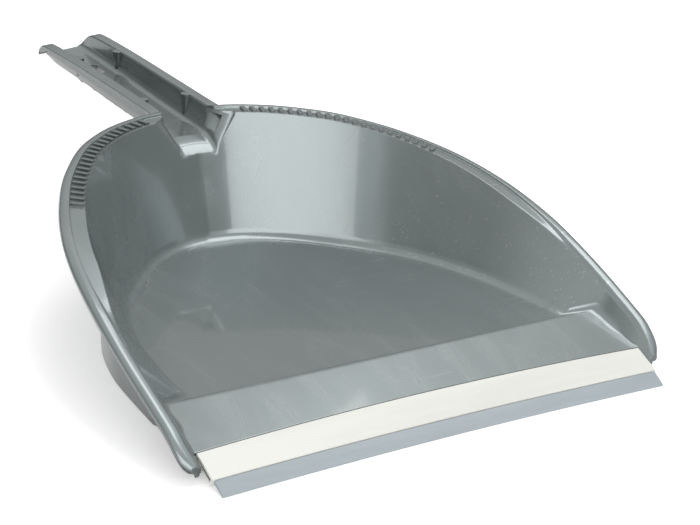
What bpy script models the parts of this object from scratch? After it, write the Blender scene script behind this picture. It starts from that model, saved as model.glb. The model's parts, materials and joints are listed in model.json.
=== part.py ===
"""Dust pan with a channel handle and a two-part lip.

Three pieces: the moulded pan with its handle, the rigid strip clipped over the
front edge, and the soft blade on that strip. Lengths below are in millimetres,
+X to the right, +Y from the lip towards the handle, +Z up; the lip's front edge
is at Y = 0 while drawing and the whole is centred at the end.
"""
from math import atan2, cos, hypot, pi, radians, sin, sqrt

import bmesh
import bpy
from mathutils import Vector

MM = 0.001
TOTAL_LENGTH = 503.5
MID_Y = TOTAL_LENGTH / 2

# moulded pan
WALL = 2.4
FLOOR_Z = 21.4
CREST_Y, CREST_Z = 69.0, 24.3
RAMP_FOOT = (27.0, 14.7)
RAMP_HALF = 154.6
FILLET = 6.0
RIM_WIDE, RIM_BEAD = 12.0, 9.6
RIM_DROP = 6.0
LEDGE = 5.4
RECESS = 1.7
STATIONS = 30
TEETH, TOOTH = 22, 2.7
TEETH_FROM, TEETH_TO = 38.0, 130.0

# half of the pan from the middle of the back to the right-hand tip: rim's outer
# edge x, y, z and the foot of the wall x, y
OUTLINE = (
    (0.0, 325.0, 104.0, 0.0, 284.5),
    (26.0, 322.5, 103.7, 19.0, 282.0),
    (44.0, 318.5, 103.0, 33.0, 276.5),
    (63.0, 311.0, 102.0, 47.0, 268.0),
    (80.0, 300.0, 101.0, 60.5, 257.0),
    (96.0, 286.0, 99.8, 73.5, 243.5),
    (112.0, 267.0, 97.3, 86.5, 229.0),
    (127.5, 245.0, 93.7, 99.0, 212.5),
    (143.5, 215.0, 88.0, 111.0, 191.0),
    (155.0, 186.0, 80.8, 119.5, 168.5),
    (162.0, 158.0, 73.0, 125.5, 147.0),
    (166.5, 126.0, 63.0, 130.0, 120.0),
    (168.2, 95.0, 51.5, 133.0, 95.0),
    (168.6, 76.0, 44.0, 134.5, 76.0),
    (168.6, 68.0, 40.8, 151.5, 68.0),
    (168.4, 52.0, 34.2, 152.6, 52.0),
    (168.2, 37.0, 27.6, 153.4, 37.0),
    (167.6, 28.5, 21.6, 154.4, 28.5),
    (166.4, 23.0, 16.8, 154.6, 23.0),
    (163.8, 19.5, 13.6, 155.2, 19.5),
)

# skirt under the bowl
SKIRT_OUT_BACK, SKIRT_OUT_SIDE = 13.0, 9.5
SKIRT_FULL_TO, SKIRT_NONE_TO = 94.0, 60.0

# handle: y, half width, rail top z, channel floor z, underside z
HANDLE = (
    (298.0, 42.0, 101.2, 84.6, 66.0),
    (306.0, 41.0, 101.2, 85.0, 69.5),
    (312.0, 36.5, 101.3, 85.3, 74.5),
    (318.0, 29.5, 101.6, 85.6, 79.5),
    (324.0, 25.9, 103.7, 85.9, 82.4),
    (346.0, 25.6, 104.9, 87.3, 84.2),
    (370.0, 25.3, 106.2, 88.8, 85.7),
    (395.0, 25.0, 107.4, 90.4, 87.2),
    (420.0, 24.7, 108.6, 92.2, 88.9),
    (445.0, 24.4, 109.5, 94.1, 90.5),
    (468.0, 24.1, 110.0, 95.8, 91.6),
    (482.0, 23.9, 110.1, 96.8, 92.2),
    (489.0, 23.7, 109.6, 97.3, 92.6),
    (494.0, 23.5, 108.0, 97.7, 93.2),
    (498.5, 23.0, 105.2, 98.1, 94.1),
    (501.6, 22.2, 102.2, 98.4, 95.3),
    (503.5, 21.0, 99.8, 98.6, 96.8),
)
FLANGE, FLANGE_DROP = 6.0, 3.4
CHANNEL_FOOT = 13.5
HANDLE_TWIST = radians(6.0)
TWIST_FROM = 330.0
NOTCH_FLARE, NOTCH_DROP, NOTCH_ROUND = 13.0, 13.0, 20.0
BACK_LEAN = 0.32
NOTCH_STEPS = 8
SNAP_RIBS = (349.0, 447.0)
GRIP_RIBS = (386.0, 400.0, 414.5, 434.0, 454.0)
HANG_HOLE, HANG_ASIDE = (457.0, 19.0, 9.6), 1.6

# lip
STRIP_HALF, BLADE_HALF = 153.7, 152.5
STRIP_SLOPE = radians(24.0)
STRIP_LONG, STRIP_SKIN, SLOT = 19.4, 1.5, 2.4
GAP = 0.3
BOW_FRONT, BOW_REAR = 4.0, 7.0

PALETTE = {
    "pan_moulding": (0.22, 0.26, 0.26),
    "lip_strip": (0.88, 0.88, 0.84),
    "lip_blade": (0.42, 0.48, 0.53),
}


def clear_file():
    for obj in list(bpy.data.objects):
        bpy.data.objects.remove(obj, do_unlink=True)
    for group in list(bpy.data.collections):
        bpy.data.collections.remove(group)


def new_collection(name):
    group = bpy.data.collections.new(name)
    bpy.context.scene.collection.children.link(group)
    return group


def material(name, color):
    mat = bpy.data.materials.new(name)
    mat.use_nodes = True
    shader = mat.node_tree.nodes["Principled BSDF"]
    shader.inputs["Base Color"].default_value = (*color, 1.0)
    shader.inputs["Roughness"].default_value = 0.35
    return mat


def from_bmesh(name, bm, group):
    bmesh.ops.recalc_face_normals(bm, faces=bm.faces)
    mesh = bpy.data.meshes.new(name)
    bm.to_mesh(mesh)
    bm.free()
    obj = bpy.data.objects.new(name, mesh)
    group.objects.link(obj)
    return obj


def loft(name, rings, group, closed=False):
    """Skin closed rings of equally many points; the two end rings are capped."""
    bm = bmesh.new()
    rows = [[bm.verts.new(Vector(p) * MM) for p in ring] for ring in rings]
    count = len(rows[0])
    pairs = list(zip(rows, rows[1:])) + ([(rows[-1], rows[0])] if closed else [])
    for a, b in pairs:
        for i in range(count):
            j = (i + 1) % count
            bm.faces.new((a[i], a[j], b[j], b[i]))
    if not closed:
        bm.faces.new(rows[0])
        bm.faces.new(rows[-1])
    return from_bmesh(name, bm, group)


def boolean(target, others, how):
    for other in others:
        other.hide_render = True
        other.display_type = "WIRE"
        mod = target.modifiers.new(how.lower() + "_" + other.name, "BOOLEAN")
        mod.operation = how
        mod.solver = "EXACT"
        mod.object = other


def apply_modifiers(obj):
    graph = bpy.context.evaluated_depsgraph_get()
    mesh = bpy.data.meshes.new_from_object(obj.evaluated_get(graph))
    obj.modifiers.clear()
    obj.data = mesh


def blend(rows, t):
    """Catmull-Rom through the rows, t from 0 to len(rows) - 1."""
    i = min(int(t), len(rows) - 2)
    f = t - i
    p = [rows[max(0, min(len(rows) - 1, i + k))] for k in (-1, 0, 1, 2)]
    return tuple(
        0.5 * (2 * b + (c - a) * f + (2 * a - 5 * b + 4 * c - d) * f ** 2
               + (3 * b - a - 3 * c + d) * f ** 3)
        for a, b, c, d in zip(*p))


def ramp_z(y):
    slope = (CREST_Z - RAMP_FOOT[1]) / (CREST_Y - RAMP_FOOT[0])
    return RAMP_FOOT[1] + (y - RAMP_FOOT[0]) * slope


def ease(value, low, high):
    f = max(0.0, min(1.0, (value - low) / (high - low)))
    return f * f * (3 - 2 * f)


def station(t):
    """One cross-section's plan directions and heights at outline position t."""
    x, y, z, fx, fy = blend(OUTLINE, t)
    reach = hypot(x - fx, y - fy)
    out = ((x - fx) / reach, (y - fy) / reach)
    floor = FLOOR_Z if fy > CREST_Y + 6 else ramp_z(fy)
    floor -= 0.32 * max(0.0, RAMP_FOOT[0] + 4.0 - fy)
    return {"foot": (fx, fy), "out": out, "reach": reach, "rim": z, "floor": floor,
            "y": y}


def place(st, s, z):
    return (st["foot"][0] + st["out"][0] * s, st["foot"][1] + st["out"][1] * s, z)


def wall_top(st):
    """Distance from the wall's foot to the rim's inner edge, and its height."""
    flat = ease(st["y"], 95.0, 170.0)
    width = RIM_BEAD + (RIM_WIDE - RIM_BEAD) * flat
    width = min(width, st["reach"] - 0.6)
    return st["reach"] - width, st["rim"] - RECESS - 1.6 * (1 - flat), flat


def wall_ring(t):
    st = station(t)
    reach, rim, floor = st["reach"], st["rim"], st["floor"]
    top_s, top_z, flat = wall_top(st)
    high = top_z - floor
    inward = ease(st["foot"][1], 38.0, 50.0)
    corner = min(FILLET, 0.42 * high) * inward + 0.05
    stub = -(corner + 1.0) * inward
    length = hypot(top_s, high)
    ux, uz = top_s / length, high / length
    ring = [(stub, floor - 0.3)]
    for k in range(5):
        f = k / 4
        a, b = (1 - f) ** 2, f ** 2
        ring.append((-corner * a + corner * ux * b,
                     (floor - 0.25) * (1 - b) + (floor + corner * uz) * b))
    ring.append((top_s, top_z))
    ledge = LEDGE * flat + 0.9 * (1 - flat)
    ring.append((top_s + ledge, top_z + 0.9 * (1 - flat)))
    ring.append((top_s + ledge + 0.3 + 1.2 * (1 - flat), rim - 0.5 * (1 - flat)))
    ring.append((reach - 3.6, rim))
    ring.append((reach - 1.2, rim - 0.7))
    ring.append((reach, rim - 2.6))
    drop = min(RIM_DROP, 0.55 * (rim - floor) + 3.2)
    ring.append((reach - 0.9, rim - drop))
    hook = ease(st["foot"][1], 26.0, 60.0)
    low = rim - drop
    ring.append((reach - 2.1, low - 0.3 * (1 - hook)))
    ring.append((reach - 2.3, rim - 3.6 + (low - 0.5 - rim + 3.6) * (1 - hook)))
    thick = min(WALL / uz, 3.4)
    under = (top_s + min(thick + 1.0, reach - top_s - 3.0),
             top_z - 2.9 + (min(low - 0.7, top_z - 2.9) - top_z + 2.9) * (1 - hook))
    ring.append(under)
    base = (min(thick, under[0] - 0.4), floor - WALL)
    side = ease(st["y"], 110.0, 230.0)
    skirt = SKIRT_OUT_SIDE + (SKIRT_OUT_BACK - SKIRT_OUT_SIDE) * side
    if st["foot"][1] < CREST_Y + 3:
        skirt = base[0] - 0.4
    skirt = min(skirt, under[0] - 1.6)
    rise = 1 - ease(st["y"], SKIRT_NONE_TO, SKIRT_FULL_TO)
    foot_z = (floor - WALL - 2.4) * rise

    def on_wall(s):
        f = max(0.03, min(0.97, (s - base[0]) / (under[0] - base[0])))
        return base[1] + (under[1] - base[1]) * f

    outer, inner = skirt + WALL / 2, skirt - WALL / 2
    branch = max(on_wall(outer), foot_z + 0.8)
    ring.append((outer + 0.06 * (branch - foot_z), branch))
    ring.append((outer, foot_z))
    ring.append((inner, foot_z))
    if inner > base[0] + 0.3:
        ring.append((inner, on_wall(inner)))
        ring.append(base)
    else:
        ring.append((inner, min(base[1] - 0.2, foot_z + 1.6)))
        ring.append((inner - 0.6, base[1] + 0.1))
    ring.append((stub, floor - WALL + 0.25))
    return [place(st, s, z) for s, z in ring]


def outline_positions():
    """Positions along half the outline, about evenly spaced, tip last."""
    last = len(OUTLINE) - 1
    fine = [blend(OUTLINE, last * i / 600)[:2] for i in range(601)]
    run = [0.0]
    for a, b in zip(fine, fine[1:]):
        run.append(run[-1] + hypot(a[0] - b[0], a[1] - b[1]))
    spots, k = [], 0
    for i in range(STATIONS + 1):
        want = run[-1] * i / STATIONS
        while k < 600 and run[k] < want:
            k += 1
        spots.append(last * k / 600)
    crest = [13.0, 14.0]
    spots = [t for t in spots if all(abs(t - c) > 0.45 for c in crest)] + crest
    return sorted(spots)


def mirrored(ring):
    return [(-x, y, z) for x, y, z in ring]


def both_halves(spots, make):
    right = [make(t) for t in spots]
    return [mirrored(r) for r in reversed(right[1:])] + right


def bowl_wall(group):
    rings = both_halves(outline_positions(), wall_ring)
    for end in (0, -1):
        last = rings[end]
        mid = [sum(p[k] for p in last) / len(last) for k in range(3)]
        nose = [(mid[0] + (x - mid[0]) * 0.72, y - 1.6, mid[2] + (z - mid[2]) * 0.66)
                for x, y, z in last]
        rings = [nose] + rings if end == 0 else rings + [nose]
    return loft("bowl_wall", rings, group)


def prism(name, plan, low, high, group):
    return loft(name, [[(x, y, z) for x, y in plan] for z in (low, high)], group)


def floor_edge(spots, shift):
    edge = []
    for t in spots:
        st = station(t)
        if st["foot"][1] < CREST_Y + 4:
            break
        x, y, _ = place(st, shift, 0)
        edge.append((x, y))
    return [(-x, y) for x, y in reversed(edge[1:])] + edge


def floor_plate(group):
    plan = floor_edge(outline_positions(), 0.6)
    x = plan[-1][0]
    plan += [(x, CREST_Y + 1.0), (-x, CREST_Y + 1.0)]
    return prism("floor_plate", plan, FLOOR_Z - WALL - 0.1, FLOOR_Z, group)


def bow(x, depth):
    return depth * (1 - (x / STRIP_HALF) ** 2)


def on_strip(x, a, b):
    """At x: point a along the strip from its rear top edge, b above its top face."""
    u = (-cos(STRIP_SLOPE), -sin(STRIP_SLOPE))
    n = (-sin(STRIP_SLOPE), cos(STRIP_SLOPE))
    rear, front = bow(x, BOW_REAR), bow(x, BOW_FRONT)
    back = rear + (front - rear) * a / STRIP_LONG
    return (RAMP_FOOT[0] + u[0] * a + n[0] * b + back,
            RAMP_FOOT[1] + u[1] * a + n[1] * b)


def across(name, section, half, group, steps=16):
    """Sweep a section(x) of (y, z) points along X from -half to +half."""
    rings = []
    for i in range(steps + 1):
        x = half * (2 * i / steps - 1)
        rings.append([(x, y, z) for y, z in section(x)])
    return loft(name, rings, group)


def ramp_section(x):
    rear = bow(x, BOW_REAR)
    foot = RAMP_FOOT[0] + rear + GAP
    back = 1 - 0.88 * ease(abs(x), OUTLINE[13][3] + 1.0, RAMP_HALF)
    top = [(CREST_Y + 7.5 * back, FLOOR_Z - 0.4), (CREST_Y + 4.2 * back, FLOOR_Z + 0.9),
           (CREST_Y + 1.4 * back, CREST_Z - 0.4), (CREST_Y, CREST_Z),
           (CREST_Y - 1.6, CREST_Z - 0.25), (foot + 4.0, ramp_z(foot + 4.0)),
           (foot + 0.5, ramp_z(foot) - 1.0),
           (foot + 1.1, ramp_z(foot) - WALL)]
    return top + [(CREST_Y - 1.0, CREST_Z - WALL - 0.3),
                  (CREST_Y + 7.5 * back, FLOOR_Z - WALL + 0.3)]


def nose_section(x):
    high, low = -STRIP_SKIN - GAP, -STRIP_SKIN - SLOT + GAP
    return [on_strip(x, a, b) for a, b in (
        (-4.0, high - 0.6), (-0.4, high), (STRIP_LONG - 2.2, high),
        (STRIP_LONG - 2.2, low), (-4.0, low))]


def handle_ring(row, inside=False):
    y, half, rail, floor, under = row
    inner = half - FLANGE - WALL
    foot = min(CHANNEL_FOOT, inner - 3.0)
    depth = rail - floor
    drop = min(FLANGE_DROP, 0.6 * depth + 0.5)
    right = [(0.0, floor), (foot - 2.6, floor), (foot + 0.2, floor + 0.07 * depth),
             (foot + 1.6, floor + 0.24 * depth),
             (inner, rail - 0.10 * depth), (inner + 0.7, rail)]
    if inside:
        right = right[:-1] + [(inner, rail), (inner, rail + 30.0), (0.0, rail + 30.0)]
    else:
        right += [(half - 0.9, rail), (half, rail - 0.9), (half, rail - drop),
                  (inner + WALL + 0.4, rail - drop - 0.1),
                  (inner + WALL, max(under + 4.5, rail - 0.55 * depth - 2.0)),
                  (foot + WALL, under + 1.6), (foot - 0.8, under), (0.0, under)]
    left = [(-x, z) for x, z in reversed(right) if x > 0.0]
    ring = right + left
    turn = HANDLE_TWIST * ease(y, TWIST_FROM, TOTAL_LENGTH + 60) * 1.15
    mid = floor + 4.0
    return [(x * cos(turn) - (z - mid) * sin(turn), y,
             mid + (z - mid) * cos(turn) + x * sin(turn)) for x, z in ring]


def handle_rows(count):
    last = len(HANDLE) - 1
    return [blend(HANDLE, last * i / count) for i in range(count + 1)]


def handle_body(group):
    return loft("handle_body", [handle_ring(r) for r in handle_rows(26)], group)


def notch_cutter(group):
    """The channel carried on through the back wall, rounded out into the bowl."""
    start, end = 326.5, 306.5
    turns = [k / NOTCH_STEPS for k in range(NOTCH_STEPS + 1)]
    spots = [(start - NOTCH_ROUND * sin(t * pi / 2), t) for t in turns]
    rings = []
    for y, t in spots + [(end - 2.0, 1.0), (end - 10.0, 1.0)]:
        away = 1 - cos(t * pi / 2)
        ring = handle_ring((y, 25.2 + NOTCH_FLARE * away, 103.6,
                            86.6 - NOTCH_DROP * away, 80.0), inside=True)
        rings.append([(x, y + BACK_LEAN * (z - 87.0), z) for x, y, z in ring])
    return loft("notch_cutter", rings, group)


def bowl_space(group):
    """Room inside the bowl, which nothing of the handle may enter."""
    rings = []
    for part in range(4):
        ring = []
        for t in outline_positions():
            st = station(t)
            top_s, top_z, _ = wall_top(st)
            s, z = ((0.0, FLOOR_Z + 3.0), (top_s * 0.5, (st["floor"] + top_z) / 2),
                    (top_s, top_z), (top_s + 14.0, top_z + 42.0))[part]
            if part == 0:
                s = top_s * (z - st["floor"]) / max(1.0, top_z - st["floor"])
            ring.append(place(st, s + 0.4, z))
            if st["y"] < 200.0:
                break
        left = [(-x, y, z) for x, y, z in reversed(ring[1:])]
        rings.append(left + ring)
    return loft("bowl_space", rings, group)


def box(name, centre, size, turn, group):
    bm = bmesh.new()
    bmesh.ops.create_cube(bm, size=1.0)
    c, s = cos(turn), sin(turn)
    for v in bm.verts:
        x, y, z = v.co.x * size[0], v.co.y * size[1], v.co.z * size[2]
        v.co = Vector((centre[0] + c * x - s * y, centre[1] + s * x + c * y,
                       centre[2] + z)) * MM
    return from_bmesh(name, bm, group)


def teeth(group):
    """Comb teeth on the ledge inside the rim, either side of the handle."""
    fine = [19 * i / 1500 for i in range(1501)]
    pts = []
    for t in fine:
        st = station(t)
        top_s, top_z, _ = wall_top(st)
        pts.append((t, place(st, top_s + 2.9, 0), st, top_z))
    pts = [p for p in pts if TEETH_FROM <= p[1][0] and p[1][1] > 200.0]
    run = [0.0]
    for a, b in zip(pts, pts[1:]):
        run.append(run[-1] + hypot(a[1][0] - b[1][0], a[1][1] - b[1][1]))
    end = next(r for r, p in zip(run, pts) if p[1][0] >= TEETH_TO)
    made = []
    for i in range(TEETH):
        k = min(range(len(run)), key=lambda j: abs(run[j] - end * i / (TEETH - 1)))
        _, (x, y, _), st, top_z = pts[k]
        turn = atan2(st["out"][1], st["out"][0]) - pi / 2
        low, high = top_z - 0.6, st["rim"] - 0.15
        for side in (1, -1):
            made.append(box("tooth_%s%02d" % ("r" if side > 0 else "l", i),
                            (x * side, y, (low + high) / 2), (TOOTH, 5.0, high - low),
                            turn * side, group))
    return made


def snap_ribs(group):
    made = []
    for y in SNAP_RIBS:
        row = min(handle_rows(200), key=lambda r: abs(r[0] - y))
        _, half, rail, floor, _ = row
        turn = HANDLE_TWIST * ease(y, TWIST_FROM, TOTAL_LENGTH + 60) * 1.15
        for side in (1, -1):
            inner = half - FLANGE - WALL
            bm = bmesh.new()
            bmesh.ops.create_cone(bm, cap_ends=True, segments=14, radius1=2.3,
                                  radius2=3.8, depth=rail - floor - 2.2)
            for v in bm.verts:
                x, z = v.co.x + side * (inner - 0.6), v.co.z + (rail + floor) / 2 + 0.5
                mid = floor + 4.0
                v.co = Vector((x * cos(turn) - (z - mid) * sin(turn), v.co.y + y,
                               mid + (z - mid) * cos(turn) + x * sin(turn))) * MM
            made.append(from_bmesh("snap_%d_%s" % (y, "r" if side > 0 else "l"), bm, group))
    return made


def grip_ribs(group):
    made = []
    for y in GRIP_RIBS:
        row = min(handle_rows(200), key=lambda r: abs(r[0] - y))
        under = row[4]
        turn = HANDLE_TWIST * ease(y, TWIST_FROM, TOTAL_LENGTH + 60) * 1.15
        rings = []
        for x, down in ((-12.2, 0.6), (-10.5, 2.6), (-6.0, 3.2), (6.0, 3.2),
                        (10.5, 2.6), (12.2, 0.6)):
            z0, z1 = under + 1.2 + x * sin(turn), under - down + x * sin(turn)
            rings.append([(x, y - 3.4, z0), (x, y + 3.4, z0), (x, y + 1.4, z1),
                          (x, y - 1.4, z1)])
        made.append(loft("grip_%d" % y, rings, group))
    return made


def hang_hole(group):
    """Long slot for hanging the pan up, opening out below."""
    y, long, wide = HANG_HOLE
    rings = []
    for z, more in ((84.0, 4.0), (94.2, 0.0), (104.0, 0.0)):
        plan = []
        for i in range(20):
            a = 2 * pi * i / 20
            shift = (long - wide) / 2 if sin(a) > 0 else -(long - wide) / 2
            plan.append((HANG_ASIDE + (wide / 2 + more) * cos(a),
                         y + shift + (wide / 2 + more) * sin(a), z))
        rings.append(plan)
    return loft("hang_hole", rings, group)


def lip_strip(group):
    low = -STRIP_SKIN - SLOT
    outline = (
        (0.4, 0.0), (STRIP_LONG - 0.5, 0.0), (STRIP_LONG, -0.5),
        (STRIP_LONG, low - 0.9), (STRIP_LONG - 0.6, low - 1.3), (6.0, low - 1.3),
        (5.6, low), (STRIP_LONG - 1.8, low), (STRIP_LONG - 1.8, -STRIP_SKIN),
        (0.0, -STRIP_SKIN), (0.0, -0.4))
    return across("lip_strip", lambda x: [on_strip(x, a, b) for a, b in outline],
                  STRIP_HALF, group)


def lip_blade(group):
    def section(x):
        shift = bow(x, BOW_FRONT)
        return [on_strip(x, STRIP_LONG + 0.35, -0.3), (0.25 + shift, 1.05),
                (0.0 + shift, 0.6), (0.5 + shift, 0.0), (1.5 + shift, 0.0),
                on_strip(x, STRIP_LONG + 0.35, -2.9)]
    return across("lip_blade", section, BLADE_HALF, group)


def finish(obj, group, color):
    for holder in list(obj.users_collection):
        holder.objects.unlink(obj)
    group.objects.link(obj)
    bm = bmesh.new()
    bm.from_mesh(obj.data)
    bmesh.ops.remove_doubles(bm, verts=bm.verts, dist=0.000004)
    for v in bm.verts:
        v.co.y -= MID_Y * MM
    bmesh.ops.recalc_face_normals(bm, faces=bm.faces)
    bm.to_mesh(obj.data)
    bm.free()
    obj.data.materials.clear()
    obj.data.materials.append(material(obj.name, color))
    obj.hide_render = False
    obj.display_type = "TEXTURED"


def main():
    clear_file()
    pan = new_collection("dust_pan")
    cutters = new_collection("cutters")
    cutters.hide_render = True

    moulding = bowl_wall(cutters)
    moulding.name = "pan_moulding"
    handle = handle_body(cutters)
    boolean(handle, [bowl_space(cutters)], "DIFFERENCE")
    apply_modifiers(handle)
    ramp = across("ramp", ramp_section, RAMP_HALF, cutters)
    nose = across("nose", nose_section, STRIP_HALF - 0.5, cutters)
    boolean(moulding, [floor_plate(cutters), ramp, nose, handle], "UNION")
    apply_modifiers(moulding)
    boolean(moulding, [notch_cutter(cutters)], "DIFFERENCE")
    apply_modifiers(moulding)
    boolean(moulding, teeth(cutters) + snap_ribs(cutters) + grip_ribs(cutters), "UNION")
    apply_modifiers(moulding)
    boolean(moulding, [hang_hole(cutters)], "DIFFERENCE")
    apply_modifiers(moulding)

    for obj in (moulding, lip_strip(cutters), lip_blade(cutters)):
        finish(obj, pan, PALETTE[obj.name])


main()
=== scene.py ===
"""Dust pan: the shown model, its materials, light and camera.

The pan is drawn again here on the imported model's outline, with a wider rim, finer
sections and rounded edges. Lengths in the drawing functions are millimetres with the
lip's front edge at Y = 0; everything is moved into the row frame at the end.
"""

from math import atan2, cos, hypot, pi, radians, sin

import bmesh
import bpy
from mathutils import Matrix, Vector
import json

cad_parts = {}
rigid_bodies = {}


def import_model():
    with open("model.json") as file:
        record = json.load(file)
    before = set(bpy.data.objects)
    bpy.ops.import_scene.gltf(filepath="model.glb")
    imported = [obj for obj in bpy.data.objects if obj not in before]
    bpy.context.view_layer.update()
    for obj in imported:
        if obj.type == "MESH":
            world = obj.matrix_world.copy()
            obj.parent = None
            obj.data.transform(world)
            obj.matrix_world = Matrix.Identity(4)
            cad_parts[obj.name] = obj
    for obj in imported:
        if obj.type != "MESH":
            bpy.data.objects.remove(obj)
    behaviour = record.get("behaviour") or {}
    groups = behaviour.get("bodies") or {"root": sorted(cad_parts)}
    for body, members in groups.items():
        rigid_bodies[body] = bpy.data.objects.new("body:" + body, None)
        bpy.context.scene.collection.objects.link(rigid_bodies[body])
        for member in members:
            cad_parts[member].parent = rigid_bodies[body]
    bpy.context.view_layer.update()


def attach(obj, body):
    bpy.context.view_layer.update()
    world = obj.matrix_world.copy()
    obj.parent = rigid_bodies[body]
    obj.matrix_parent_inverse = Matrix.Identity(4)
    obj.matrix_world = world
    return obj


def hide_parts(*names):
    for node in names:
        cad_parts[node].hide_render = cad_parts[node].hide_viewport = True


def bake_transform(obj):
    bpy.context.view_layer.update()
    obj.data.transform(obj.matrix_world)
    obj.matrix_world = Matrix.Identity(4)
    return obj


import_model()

MM = 0.001
TOTAL_LENGTH = 503.5
MID_Y = TOTAL_LENGTH / 2

# how finely things are drawn
STATIONS, OUTLINE_PROBES, TEETH_PROBES = 120, 600, 1500
FILLET_STEPS = 4
NOTCH_STEPS = 24
ACROSS_STEPS = 64
HANDLE_RINGS, HANDLE_PROBES = 90, 200
SNAP_SIDES, HANG_SIDES = 14, 20
CORNER_ROUND = 0.7
SHARP_ANGLE = 34.0
WELD = 0.000005  # metres

# moulded pan
WALL, WALL_MOST = 2.4, 3.4
FLOOR_Z = 21.4
CREST_Y, CREST_Z = 69.0, 24.3
RAMP_FOOT = (27.0, 14.7)
RAMP_HALF = 154.6
# the ramp's tail behind the crest: distance and height
RAMP_TAIL = ((7.5, FLOOR_Z - 0.4), (4.2, FLOOR_Z + 0.9), (1.4, CREST_Z - 0.4))
TAIL_SHRINK = 0.88
TIP_FALL, TIP_FALL_FROM = 0.32, RAMP_FOOT[0] + 4.0
TIP_LENGTH, TIP_NARROW, TIP_FLAT = 1.6, 0.72, 0.66
FILLET, FILLET_SHARE = 6.0, 0.42
RIM_WIDE, RIM_BEAD = 16.5, 9.6
RIM_DROP, DROP_SHARE, DROP_MORE = 6.0, 0.55, 3.2
# the rim's outer edge: distance in from it and down from the top
RIM_EDGE = ((3.6, 0.0), (1.2, 0.7), (0.0, 2.6))
RIM_UNDER = 2.9
LEDGE, LEDGE_LEAST = 9.4, 0.9
RECESS, RECESS_MORE = 1.7, 1.6
TEETH, TOOTH, TOOTH_LONG = 22, 2.7, 8.6
TEETH_FROM, TEETH_TO, TEETH_IN = 38.0, 130.0, 4.7
TEETH_BEHIND = 200.0

# the Y at which a feature begins to grow, and the Y at which it is whole
RIM_FLATTENS = (95.0, 170.0)
STUB_GROWS = (38.0, 50.0)
FLANGE_GROWS = (26.0, 60.0)
SKIRT_WIDENS = (110.0, 230.0)
SKIRT_DROPS = (60.0, 94.0)

# feet of the wall further back than these have a level floor, a floor plate, a skirt
LEVEL_FROM, PLATE_FROM, SKIRT_FROM = CREST_Y + 6.0, CREST_Y + 4.0, CREST_Y + 3.0
PLATE_SHIFT, PLATE_FRONT, PLATE_EXTRA = 1.1, CREST_Y + 1.0, 0.4

# half of the pan from the middle of the back to the right-hand tip: rim's outer
# edge x, y, z and the foot of the wall x, y
OUTLINE = (
    (0.0, 325.0, 104.0, 0.0, 284.5),
    (26.0, 322.5, 103.7, 19.0, 282.0),
    (44.0, 318.5, 103.0, 33.0, 276.5),
    (63.0, 311.0, 102.0, 47.0, 268.0),
    (80.0, 300.0, 101.0, 60.5, 257.0),
    (96.0, 286.0, 99.8, 73.5, 243.5),
    (112.0, 267.0, 97.3, 86.5, 229.0),
    (127.5, 245.0, 93.7, 99.0, 212.5),
    (143.5, 215.0, 88.0, 111.0, 191.0),
    (155.0, 186.0, 80.8, 119.5, 168.5),
    (162.0, 158.0, 73.0, 125.5, 147.0),
    (166.5, 126.0, 63.0, 130.0, 120.0),
    (168.2, 95.0, 51.5, 133.0, 95.0),
    (168.6, 76.0, 44.0, 134.5, 76.0),
    (168.6, 68.0, 40.8, 151.5, 68.0),
    (168.4, 52.0, 34.2, 152.6, 52.0),
    (168.2, 37.0, 27.6, 153.4, 37.0),
    (167.6, 28.5, 21.6, 154.4, 28.5),
    (166.4, 23.0, 16.8, 154.6, 23.0),
    (163.8, 19.5, 13.6, 155.2, 19.5),
)
# rows either side of the crest, where the wall's foot steps outward
CREST_ROWS = (13, 14)
CREST_CLEAR = 0.45

# skirt under the bowl
SKIRT_OUT_BACK, SKIRT_OUT_SIDE = 13.0, 9.5
SKIRT_SPARE, SKIRT_FLARE = 2.4, 0.06

# handle: y, half width, rail top z, channel floor z, underside z
HANDLE = (
    (298.0, 42.0, 101.2, 84.6, 66.0),
    (306.0, 41.0, 101.2, 85.0, 69.5),
    (312.0, 36.5, 101.3, 85.3, 74.5),
    (318.0, 29.5, 101.6, 85.6, 79.5),
    (324.0, 25.9, 103.7, 85.9, 82.4),
    (346.0, 25.6, 104.9, 87.3, 84.2),
    (370.0, 25.3, 106.2, 88.8, 85.7),
    (395.0, 25.0, 107.4, 90.4, 87.2),
    (420.0, 24.7, 108.6, 92.2, 88.9),
    (445.0, 24.4, 109.5, 94.1, 90.5),
    (468.0, 24.1, 110.0, 95.8, 91.6),
    (482.0, 23.9, 110.1, 96.8, 92.2),
    (489.0, 23.7, 109.6, 97.3, 92.6),
    (494.0, 23.5, 108.0, 97.7, 93.2),
    (498.5, 23.0, 105.2, 98.1, 94.1),
    (501.6, 22.2, 102.2, 98.4, 95.3),
    (503.5, 21.0, 99.8, 98.6, 96.8),
)
FLANGE, FLANGE_DROP = 6.0, 3.4
CHANNEL_FOOT = 13.5
# the channel's corner: distance out from its foot and share of its depth
CHANNEL_CORNER = ((-2.6, 0.0), (0.2, 0.07), (1.6, 0.24))
CHANNEL_ROOM = 30.0
HANDLE_ROUND = 1.0
HANDLE_TWIST, TWIST_GAIN = radians(6.0), 1.15
TWIST_FROM, TWIST_TO = 330.0, TOTAL_LENGTH + 60
TWIST_AXIS = 4.0  # above the channel's floor

# mouth of the channel through the back wall
NOTCH_FROM, NOTCH_END = 326.5, 303.0
NOTCH_HALF, NOTCH_RAIL, NOTCH_FLOOR, NOTCH_UNDER = 25.2, 103.6, 86.6, 80.0
NOTCH_FLARE, NOTCH_DROP, NOTCH_ROUND = 13.0, 13.0, 23.5
NOTCH_CORNERS = (1.0, 5.0)
NOTCH_BEYOND = (2.0, 10.0)
BACK_LEAN, LEAN_FROM_Z = 0.32, 87.0
HANDLE_CLEAR = 0.15

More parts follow.
